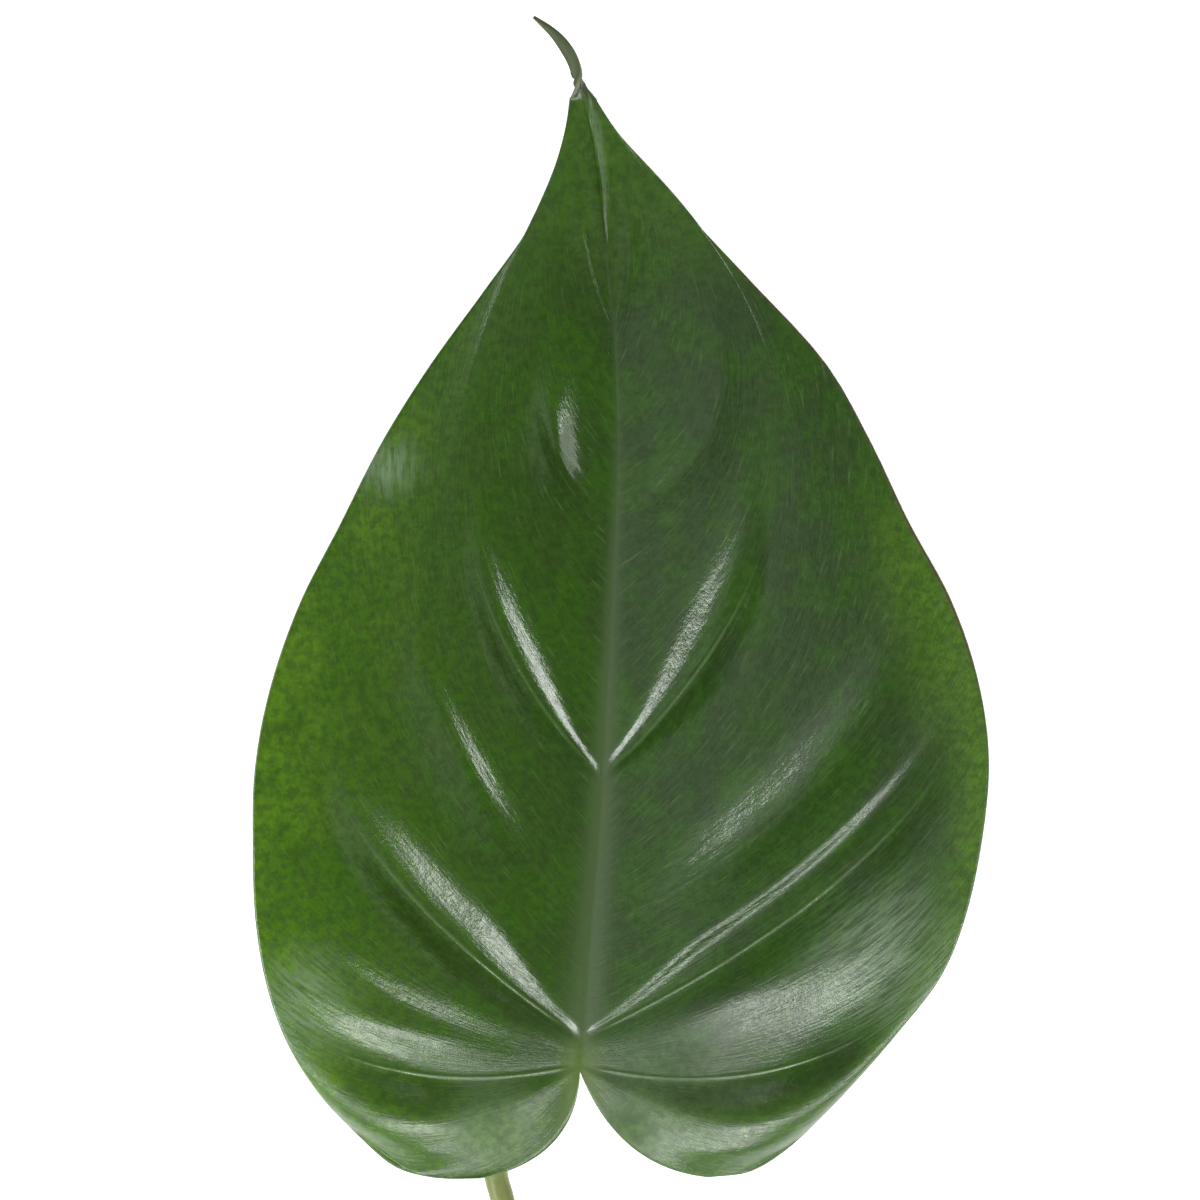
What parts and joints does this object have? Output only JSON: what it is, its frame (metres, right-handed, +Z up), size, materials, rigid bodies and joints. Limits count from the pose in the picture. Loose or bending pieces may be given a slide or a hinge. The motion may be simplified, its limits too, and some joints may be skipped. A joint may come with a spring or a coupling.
{
  "type": "philodendron leaf",
  "caption": "Picked heart-shaped philodendron leaf with sunken curved veins, a twisted drip tip and its stalk, lying face up.",
  "frame": {"origin": "on the surface that the leaf lies on, under the middle of its bounding box", "axes": "+Z up out of the leaf's upper face, +Y from the stalk's cut end to the drip tip, +X to the right seen from above"},
  "size_m": [0.074, 0.1592, 0.0056],
  "materials": {
    "leaf_blade": "satin",
    "petiole": "satin"
  },
  "bodies": {
    "root": {"leaf_blade": "leaf_blade", "petiole": "petiole"}
  },
  "joints": []
}
